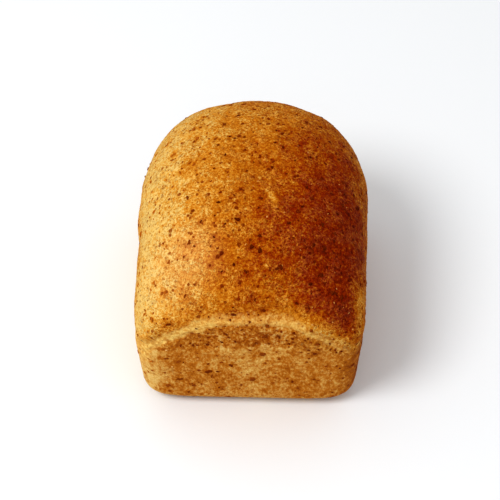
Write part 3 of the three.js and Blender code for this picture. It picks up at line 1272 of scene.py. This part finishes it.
    def mix(self, share: object, first: object, second: object, how: str = "MIX") -> bpy.types.NodeSocket:
        """Mixes two colours.

        Args:
            share: How much of the second.
            first: The first colour.
            second: The second colour.
            how: The way of mixing.

        Returns:
            A socket with the mixed colour.
        """
        node = self.tree.nodes.new("ShaderNodeMix")
        node.data_type = "RGBA"
        node.blend_type = how
        self.feed(node.inputs["Factor"], share)
        self.feed(node.inputs[6], first)
        self.feed(node.inputs[7], second)
        return node.outputs[2]

    def raise_by(self, height: object, distance: float) -> None:
        """Gives the surface a bump of a height from 0 to 1, as deep as the distance in metres."""
        node = self.tree.nodes.new("ShaderNodeBump")
        node.inputs["Distance"].default_value = distance
        node.inputs["Strength"].default_value = 1.0
        self.feed(node.inputs["Height"], height)
        self.feed(self.surface.inputs["Normal"], node.outputs["Normal"])


@dataclass(frozen=True)
class CrustFinish:
    """Baked crust: browned and netted with wrinkles on the dome, their lines painted pale as highlight and
    with painted glints and sheen, paler at the tear and below.
    """

    creamy: Colour = (0.71, 0.49, 0.16, 1.0)
    straw: Colour = (0.66, 0.370, 0.072, 1.0)
    honey: Colour = (0.585, 0.243, 0.021, 1.0)
    golden: Colour = (0.470, 0.155, 0.005, 1.0)
    amber: Colour = (0.385, 0.104, 0.002, 1.0)
    copper: Colour = (0.310, 0.055, 0.0008, 1.0)
    brown: Colour = (0.245, 0.024, 0.0004, 1.0)
    deep: Colour = (0.200, 0.013, 0.0002, 1.0)
    dark: Colour = (0.110, 0.0075, 0.0003, 1.0)
    crumb: Colour = (0.80, 0.54, 0.16, 1.0)
    crumb_golden: Colour = (0.58, 0.28, 0.050, 1.0)
    wall_cream: Colour = (0.74, 0.50, 0.17, 1.0)
    wall_straw: Colour = (0.64, 0.37, 0.095, 1.0)
    wall_tan: Colour = (0.56, 0.265, 0.052, 1.0)
    wall_golden: Colour = (0.46, 0.160, 0.011, 1.0)
    wall_orange: Colour = (0.38, 0.115, 0.005, 1.0)
    wall_brown: Colour = (0.27, 0.066, 0.003, 1.0)
    wall_dark: Colour = (0.16, 0.026, 0.001, 1.0)
    sunk: Colour = (0.42, 0.18, 0.04, 1.0)
    glint: Colour = (0.80, 0.44, 0.20, 1.0)
    # Painted sheen, a pale highlight mixed into the dome's colour on its front left shoulder.
    painted_sheen: Colour = (0.78, 0.52, 0.36, 1.0)
    sheen: Colour = (1.0, 0.7, 0.38, 1.0)
    gloss: float = 0.008
    roughness: float = 0.5

    wide_lines: Cloud = Cloud(2.6 * MM, 2.0, 0.6)
    wide_line: float = 0.075
    close_lines: Cloud = Cloud(1.7 * MM, 2.0, 0.6)
    close_line: float = 0.07
    close_line_shift: float = 0.3
    line_core: float = 0.2
    line_patches: Cloud = Cloud(6.0 * MM, 2.0)
    line_patch_edge: Span = (0.38, 0.62)
    line_patch_strength: Span = (0.5, 1.0)
    # Painted highlight along the raised wrinkle lines, and slight painted shade between them.
    line_painted_highlight: float = 0.25
    line_highlight_balance: float = 0.12
    glint_on_line: Span = (0.4, 1.0)
    glint_strength: Span = (0.0, 0.04)
    painted_sheen_strength: float = 0.09

    dome_clouds: tuple[Cloud, ...] = (
        Cloud(14.0 * MM, 2.0, 0.5, 0.5),
        Cloud(4.0 * MM, 3.0, 0.5, 0.4),
        Cloud(1.2 * MM, 4.0, 0.8, 2.3),
    )
    dome_cloud_browning: Span = (0.05, 1.0)
    dome_cloud_strength: Span = (0.5, 1.2)
    dome_halo: float = 0.28
    golden_under_dome: float = 0.3

    wall_clouds: tuple[Cloud, ...] = (
        Cloud(13.0 * MM, 3.0, 0.5, 0.5),
        Cloud(4.0 * MM, 3.0, 0.5, 0.55),
        Cloud(1.6 * MM, 4.0, 0.74, 1.5),
    )
    wall_places: Places = Places((0.9, 0.9, 1.35))
    wall_halo: float = 0.25
    under_band_browner: float = 0.05
    under_band_rougher: float = 1.0
    blotches: Specks = Specks(7.0 * MM, 0.5, 0.27)
    blotch_places: Places = Places((0.95, 0.95, 1.2), 1.6 * MM, 2.6 * MM)
    blotch_surround: Span = (-0.22, 0.05)
    blotch_browning: float = 0.22

    bran_places: Places = Places((1.0, 1.0, 1.0), 0.5 * MM, 1.1 * MM)
    tiny_bran: Specks = Specks(2.4 * MM, 0.5, 0.40, 0.09, 0.85)
    small_bran: Specks = Specks(4.4 * MM, 0.5, 0.30, 0.05, 0.9)
    scorches: Cloud = Cloud(1.9 * MM, 3.0, 0.55)
    scorch_edge: Span = (0.56, 0.70)
    scorch_strength: Span = (0.0, 0.6)
    wall_scorch: float = 0.7
    wall_bran_places: Places = Places((0.9, 0.9, 1.3), 0.8 * MM, 1.6 * MM)
    close_bran: Specks = Specks(2.4 * MM, 0.62, 0.42, 0.10)
    far_bran: Specks = Specks(3.8 * MM, 0.42, 0.28, 0.08, 0.9)
    bran_lost_in_tear: float = 0.6

    tear_mottle: Cloud = Cloud(1.7 * MM, 4.0, 0.7)
    tear_mottle_edge: Span = (0.38, 0.62)
    tear_breaks: Cloud = Cloud(5.0 * MM, 4.0, 0.6)
    tear_break_edge: Span = (0.36, 0.54)
    tear_break_strength: Span = (0.40, 1.0)

    fine_grit: Cloud = Cloud(0.9 * MM, 4.0, 0.7, 0.8)
    coarse_grit: Cloud = Cloud(2.4 * MM, 3.0, 0.6, 1.2)
    line_height: float = 0.5
    bump: float = 0.45 * MM

    def squiggles(
        self, bench: Bench, drawn: Cloud, width: float, shift: float = 0.0
    ) -> bpy.types.NodeSocket:
        """Thin curly lines, like fine wrinkles.

        Args:
            bench: The material's nodes.
            drawn: The cloud whose middle level they follow.
            width: How wide they are, as a share of the cloud's range.
            shift: Offset that makes each use its own, in metres.

        Returns:
            A socket that is 1 on the lines.
        """
        moved = bench.vector("ADD", bench.place, (shift, -shift, 0.5 * shift))
        away = bench.sum("ABSOLUTE", bench.sum("SUBTRACT", bench.cloud(drawn, moved), 0.5))
        return bench.between(away, (self.line_core * width, width), (1.0, 0.0))

    def wrinkles(self, bench: Bench) -> bpy.types.NodeSocket:
        """The wrinkle lines of the dome, stronger in some patches than in others, raised in the bump and
        painted pale as highlight.

        Args:
            bench: The material's nodes.

        Returns:
            A socket that is up to 1 on the wrinkles.
        """
        wide = self.squiggles(bench, self.wide_lines, self.wide_line)
        close = self.squiggles(bench, self.close_lines, self.close_line, self.close_line_shift)
        patches = bench.cloud(self.line_patches)
        patches = bench.between(patches, self.line_patch_edge, self.line_patch_strength)
        return bench.sum("MULTIPLY", bench.sum("MAXIMUM", wide, close), patches)

    def level(self, bench: Bench, lines: object) -> bpy.types.NodeSocket:
        """How brown the dome is at each place, with painted highlight on the raised wrinkle lines and
        slight painted shade between them.

        Args:
            bench: The material's nodes.
            lines: The wrinkle lines, from 0 to 1, painted pale as highlight.

        Returns:
            A socket with the browning, from 0 to 1.
        """
        browning = bench.zone("browning")
        strength = bench.between(browning, self.dome_cloud_browning, self.dome_cloud_strength)
        total = bench.sum("MULTIPLY_ADD", bench.swing(self.dome_clouds), strength, browning)
        # Painted highlight: the raised wrinkle lines are made paler, the crust between them slightly
        # browner as painted shade.
        off_balance = bench.sum("SUBTRACT", lines, self.line_highlight_balance)
        total = bench.sum("MULTIPLY_ADD", off_balance, -self.line_painted_highlight, total)
        return bench.sum("MULTIPLY_ADD", bench.zone("halo"), self.dome_halo, total)

    def baked(self, bench: Bench, lines: object) -> bpy.types.NodeSocket:
        """Colour of the dome, from cream through gold and copper to dark brown, with painted glints on its
        wrinkle lines and a painted sheen on its front left shoulder.

        Args:
            bench: The material's nodes.
            lines: The wrinkle lines, from 0 to 1, painted pale as highlight and carrying painted glints.

        Returns:
            A socket with the colour.
        """
        stops = (
            (-0.1, self.creamy),
            (0.0, self.straw),
            (0.15, self.honey),
            (0.3, self.golden),
            (0.45, self.amber),
            (0.6, self.copper),
            (0.8, self.brown),
            (1.0, self.deep),
            (1.3, self.dark),
        )
        colour = bench.ramp(self.level(bench, lines), stops)
        # Painted glints along the wrinkle lines.
        glint = bench.between(lines, self.glint_on_line, self.glint_strength)
        colour = bench.mix(glint, colour, self.glint)
        # Painted sheen on the front left shoulder.
        return bench.mix(bench.sum("MULTIPLY", bench.zone("painted_sheen_spot"), self.painted_sheen_strength), colour, self.painted_sheen)

    def walled(self, bench: Bench, blotches: object) -> bpy.types.NodeSocket:
        """Colour of the tin-baked walls, tan with orange and brown clouds.

        Args:
            bench: The material's nodes.
            blotches: How far inside a blotch of bran each place is.

        Returns:
            A socket with the colour.
        """
        under = bench.sum("SUBTRACT", 1.0, bench.zone("tinned"))
        rougher = bench.sum("MULTIPLY_ADD", under, self.under_band_rougher, 1.0)
        clouds = bench.swing(self.wall_clouds, bench.stretched(self.wall_places))
        texture = bench.sum("MULTIPLY", clouds, rougher)
        browning = bench.sum("MULTIPLY_ADD", under, self.under_band_browner, bench.zone("wall_browning"))
        level = bench.sum("ADD", browning, texture)
        level = bench.sum("MULTIPLY_ADD", bench.zone("halo"), self.wall_halo, level)
        near_blotch = bench.between(blotches, self.blotch_surround)
        level = bench.sum("MULTIPLY_ADD", near_blotch, self.blotch_browning, level)
        stops = (
            (-0.15, self.wall_cream),
            (0.0, self.wall_straw),
            (0.15, self.wall_tan),
            (0.3, self.wall_golden),
            (0.45, self.wall_orange),
            (0.65, self.wall_brown),
            (1.0, self.wall_dark),
        )
        return bench.ramp(level, stops)

    def torn(self, bench: Bench) -> bpy.types.NodeSocket:
        """Colour of the torn band, mottled with cream and gold."""
        mottle = bench.between(bench.cloud(self.tear_mottle), self.tear_mottle_edge)
        return bench.mix(mottle, self.crumb, self.crumb_golden)

    def sunk_bran(self, bench: Bench, blotches: object) -> bpy.types.NodeSocket:
        """Bran that lies in the skin, as soft specks: many under the tear, fewer elsewhere.

        Args:
            bench: The material's nodes.
            blotches: How far inside a blotch of bran each place is.

        Returns:
            A socket that is up to 1 on the specks.
        """
        place, wall_place = bench.stretched(self.bran_places), bench.stretched(self.wall_bran_places)
        tiny, small = bench.speckled(self.tiny_bran, place), bench.speckled(self.small_bran, place)
        scorched = bench.between(bench.cloud(self.scorches, place), self.scorch_edge, self.scorch_strength)
        on_dome = bench.sum("MAXIMUM", bench.sum("MAXIMUM", tiny, small), scorched)

        under = bench.sum("SUBTRACT", 1.0, bench.zone("tinned"))
        close = bench.sum("MULTIPLY", bench.speckled(self.close_bran, wall_place), under)
        in_blotch = bench.between(blotches, (0.0, self.blotches.edge))
        on_wall = bench.sum("MAXIMUM", bench.speckled(self.far_bran, wall_place), in_blotch)
        on_wall = bench.sum("MAXIMUM", on_wall, bench.sum("MULTIPLY", scorched, self.wall_scorch))
        on_wall = bench.sum("MAXIMUM", on_wall, close)

        dome = bench.zone("dome")
        off_dome = bench.sum("SUBTRACT", 1.0, dome)
        both = bench.sum("MULTIPLY_ADD", on_wall, off_dome, bench.sum("MULTIPLY", on_dome, dome))
        kept = bench.sum("MULTIPLY_ADD", bench.zone("torn"), -self.bran_lost_in_tear, 1.0)
        return bench.sum("MULTIPLY", both, kept)

    def colour(self, bench: Bench, lines: object) -> bpy.types.NodeSocket:
        """Colour of the whole crust.

        Args:
            bench: The material's nodes.
            lines: The wrinkle lines, from 0 to 1.

        Returns:
            A socket with the colour.
        """
        blotches = bench.specks(self.blotches, bench.stretched(self.blotch_places))
        share = self.golden_under_dome
        off_wall = bench.sum("MULTIPLY_ADD", bench.zone("tinned"), -share, share)
        golden = bench.sum("MAXIMUM", bench.zone("dome"), off_wall)
        colour = bench.mix(golden, self.walled(bench, blotches), self.baked(bench, lines))
        shown = bench.between(bench.cloud(self.tear_breaks), self.tear_break_edge, self.tear_break_strength)
        colour = bench.mix(bench.sum("MULTIPLY", bench.zone("torn"), shown), colour, self.torn(bench))
        darker = bench.mix(1.0, colour, self.sunk, "MULTIPLY")
        return bench.mix(self.sunk_bran(bench, blotches), colour, darker)

    def material(self) -> bpy.types.Material:
        """Makes the crust's material."""
        bench = Bench("crust")
        lines = self.wrinkles(bench)
        bench.feed(bench.surface.inputs["Base Color"], self.colour(bench, lines))
        grit = bench.sum("MULTIPLY", bench.cloud(self.fine_grit), self.fine_grit.strength)
        grit = bench.sum("MULTIPLY_ADD", bench.cloud(self.coarse_grit), self.coarse_grit.strength, grit)
        on_dome = bench.sum("MULTIPLY", bench.zone("dome"), self.line_height)
        bench.raise_by(bench.sum("MULTIPLY_ADD", lines, on_dome, grit), self.bump)
        bench.surface.inputs["Roughness"].default_value = self.roughness
        bench.surface.inputs["Specular IOR Level"].default_value = self.gloss
        bench.surface.inputs["Specular Tint"].default_value = self.sheen
        return bench.made


@dataclass(frozen=True)
class GrainFinish:
    """A dry grain or flake, each a little lighter or darker than the next, and darker in browner crust."""

    name: str
    light: Colour
    deep: Colour
    light_baked: Colour
    deep_baked: Colour
    roughness: float = 0.6
    gloss: float = 0.008
    streaks: Cloud = Cloud(0.6 * MM, 3.0, 0.5, 0.5)
    tone_strength: float = 0.5
    tone_edge: Span = (0.2, 0.8)
    baked_from: Span = (0.0, 0.35)
    pores: Cloud = Cloud(0.4 * MM, 3.0)
    bump: float = 0.08 * MM

    def material(self) -> bpy.types.Material:
        """Makes the grains' material."""
        bench = Bench(self.name)
        tone = bench.sum("MULTIPLY", bench.zone("tone"), self.tone_strength)
        level = bench.sum("MULTIPLY_ADD", bench.cloud(self.streaks), self.streaks.strength, tone)
        low, high = self.tone_edge
        fresh = bench.ramp(level, ((low, self.deep), (high, self.light)))
        baked = bench.ramp(level, ((low, self.deep_baked), (high, self.light_baked)))
        colour = bench.mix(bench.between(bench.zone("browning"), self.baked_from), fresh, baked)
        bench.feed(bench.surface.inputs["Base Color"], colour)
        bench.raise_by(bench.cloud(self.pores), self.bump)
        bench.surface.inputs["Roughness"].default_value = self.roughness
        bench.surface.inputs["Specular IOR Level"].default_value = self.gloss
        return bench.made


@dataclass(frozen=True)
class Studio:
    """A pale floor, soft light from the front left, and the camera."""

    camera_distance: float = 0.8
    camera_elevation: float = 50.0
    camera_turn: float = 1.44
    camera_aim: tuple[float, float, float] = (-1.81 * MM, 20.49 * MM, 17.23 * MM)
    focal_length: float = 115.83
    sensor_width: float = 36.0

    key_way: tuple[float, float, float] = (-0.46, -0.34, 0.82)
    key_distance: float = 1.2
    key_size: float = 0.5
    key_power: float = 9.0
    sky_strength: float = 0.88
    sky_colour: Colour = (1.0, 1.0, 1.0, 1.0)
    floor_colour: Colour = (0.763, 0.775, 0.787, 1.0)
    floor_shade: Colour = (0.753, 0.765, 0.777, 1.0)
    floor_clouds: Cloud = Cloud(0.3, 2.0)
    floor_size: float = 8.0
    floor_roughness: float = 0.9
    floor_gloss: float = 0.1
    contrast: float = 0.85
    photo_side: float = 500.0

    def back(self) -> Vector:
        """Direction from the place that the camera aims at to the camera."""
        turn, tilt = math.radians(self.camera_turn), math.radians(self.camera_elevation)
        return Vector((math.sin(turn) * math.cos(tilt), -math.cos(turn) * math.cos(tilt), math.sin(tilt)))

    def seen_at(self, points: np.ndarray, normals: np.ndarray) -> tuple[np.ndarray, np.ndarray, np.ndarray]:
        """Works out where points would be in the photograph.

        Args:
            points: Points of a piece.
            normals: Unit directions out of it at the points.

        Returns:
            How far across and down the photograph each is, in pixels, and how squarely it faces the camera.
        """
        turn = math.radians(self.camera_turn)
        back = np.array(self.back())
        right = np.array([math.cos(turn), math.sin(turn), 0.0])
        away = points - np.array(self.camera_aim) - back * self.camera_distance
        scale = self.photo_side * self.focal_length / self.sensor_width / -(away @ back)
        across = self.photo_side / 2.0 + scale * (away @ right)
        down = self.photo_side / 2.0 - scale * (away @ np.cross(back, right))
        facing = -np.sum(normals * away, axis=1) / np.linalg.norm(away, axis=1)
        return across, down, facing

    def camera(self) -> None:
        """Sets the camera at the photograph's angle."""
        lens = bpy.data.cameras.new("camera")
        lens.lens, lens.sensor_width = self.focal_length, self.sensor_width
        eye = bpy.data.objects.new("camera", lens)
        turn, tilt = math.radians(self.camera_turn), math.radians(self.camera_elevation)
        eye.location = Vector(self.camera_aim) + self.back() * self.camera_distance
        eye.rotation_euler = (math.pi / 2.0 - tilt, 0.0, turn)
        bpy.context.scene.collection.objects.link(eye)
        bpy.context.scene.camera = eye

    def light(self) -> None:
        """Lights the loaf with one broad lamp and an even sky."""
        lamp = bpy.data.lights.new("key", "AREA")
        lamp.shape, lamp.size, lamp.energy = "DISK", self.key_size, self.key_power
        holder = bpy.data.objects.new("key", lamp)
        way = Vector(self.key_way).normalized()
        holder.location = way * self.key_distance
        holder.rotation_mode = "QUATERNION"
        holder.rotation_quaternion = way.to_track_quat("Z", "Y")
        bpy.context.scene.collection.objects.link(holder)
        sky = bpy.data.worlds.new("studio")
        sky.use_nodes = True
        sky.node_tree.nodes["Background"].inputs["Color"].default_value = self.sky_colour
        sky.node_tree.nodes["Background"].inputs["Strength"].default_value = self.sky_strength
        bpy.context.scene.world = sky

    def floor(self) -> bpy.types.Object:
        """Lays the pale floor."""
        half = self.floor_size / 2.0
        corners = np.array([[-half, -half, 0.0], [half, -half, 0.0], [half, half, 0.0], [-half, half, 0.0]])
        ground = mesh_piece("floor", corners, [[0, 1, 2, 3]])
        bench = Bench("floor")
        tint = bench.mix(bench.cloud(self.floor_clouds), self.floor_colour, self.floor_shade)
        bench.feed(bench.surface.inputs["Base Color"], tint)
        bench.surface.inputs["Roughness"].default_value = self.floor_roughness
        bench.surface.inputs["Specular IOR Level"].default_value = self.floor_gloss
        ground.data.materials.append(bench.made)
        return ground

    def develop(self) -> None:
        """Sets how the picture's light becomes colour."""
        shown = bpy.context.scene.view_settings
        shown.view_transform = "Standard"
        shown.gamma = self.contrast


def main() -> None:
    """Builds the loaf and its studio, and ties each piece to the frame."""
    logging.basicConfig(level=logging.INFO, format="%(name)s: %(message)s")
    studio = Studio()
    studio.camera()
    studio.light()
    studio.develop()
    studio.floor()

    crust = Crust()
    crust.build()
    cracked = Grains(
        GrainKind.CRACKED,
        count=210,
        longest=2.7 * MM,
        shortest=1.7 * MM,
        breadth=0.62,
        thickness=0.42,
        proud=0.38 * MM,
        gap=5.0 * MM,
        seed=3,
        pit_share=0.6,
        pit_depth=0.5 * MM,
        halo=1.0,
        marks=crust.big_grains(studio),
    )
    bran = Grains(
        GrainKind.BRAN,
        count=760,
        longest=2.2 * MM,
        shortest=1.0 * MM,
        breadth=0.7,
        thickness=0.22,
        proud=0.08 * MM,
        gap=2.2 * MM,
        seed=7,
        halo=0.8,
    )
    # Pale flakes: partly real pale bran and partly painted glints, small pale specks standing for
    # highlights.
    pale = Grains(
        GrainKind.PALE,
        count=320,
        longest=1.5 * MM,
        shortest=0.8 * MM,
        breadth=0.5,
        thickness=0.2,
        proud=0.08 * MM,
        gap=3.0 * MM,
        seed=13,
    )
    for kind in (cracked, bran, pale):
        kind.settle(crust)

    dark = GrainFinish(
        "bran",
        light=(0.50, 0.155, 0.010, 1.0),
        deep=(0.24, 0.042, 0.0015, 1.0),
        light_baked=(0.22, 0.030, 0.001, 1.0),
        deep_baked=(0.065, 0.005, 0.0001, 1.0),
    )
    # The pale flakes' colours: partly real pale bran, partly painted glints.
    light = GrainFinish(
        "pale_bran_and_glints",
        light=(0.86, 0.62, 0.28, 1.0),
        deep=(0.74, 0.42, 0.12, 1.0),
        light_baked=(0.60, 0.30, 0.09, 1.0),
        deep_baked=(0.44, 0.15, 0.02, 1.0),
    )
    body = crust.dress(CrustFinish())
    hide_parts("loaf")
    pieces = [(body, "crust"), (cracked.dress(crust, dark), "grain"), (bran.dress(crust, dark), "grain")]
    pieces.append((pale.dress(crust, light), "grain"))
    for piece, slot in pieces:
        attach(piece, "root")
        log.info("%s: %d points, %d faces", piece.name, len(piece.data.vertices), len(piece.data.polygons))


if __name__ == "__main__":
    main()
